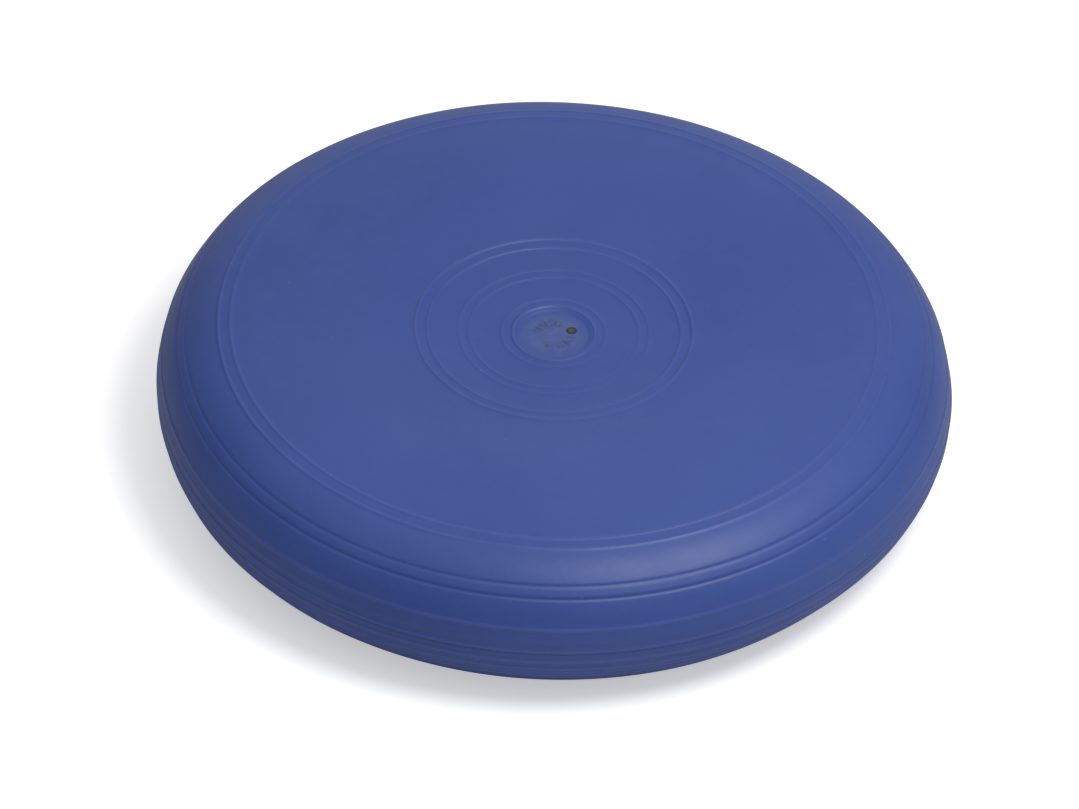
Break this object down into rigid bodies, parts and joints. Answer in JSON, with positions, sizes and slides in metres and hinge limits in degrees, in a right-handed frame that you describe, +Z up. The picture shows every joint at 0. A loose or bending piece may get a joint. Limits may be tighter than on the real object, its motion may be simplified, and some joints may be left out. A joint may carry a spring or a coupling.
{
  "type": "balance disc",
  "caption": "Round air-filled balance cushion with dished faces, fine concentric moulded ridges, a rounded rim and a needle valve in the middle of the dish.",
  "frame": {"origin": "on the ground under the centre of the disc", "axes": "+Z up along the disc's axis; the valve lies in the +X, +Y quarter, 7.8 mm from the axis, 23 degrees from +X"},
  "size_m": [0.3306, 0.3306, 0.066],
  "materials": {
    "skin": "satin",
    "valve_rubber": "matte",
    "stopper": "satin"
  },
  "bodies": {
    "disc": {"upper_skin": "skin", "lower_skin": "skin", "valve_boot": "valve_rubber", "valve_core": "valve_rubber"},
    "stopper": {"valve_stopper": "stopper"}
  },
  "joints": [
    {"name": "stopper_pull", "type": "slide", "parent": "disc", "child": "stopper", "axis": [0, 0, 1], "range_m": [0, 0.014]}
  ]
}
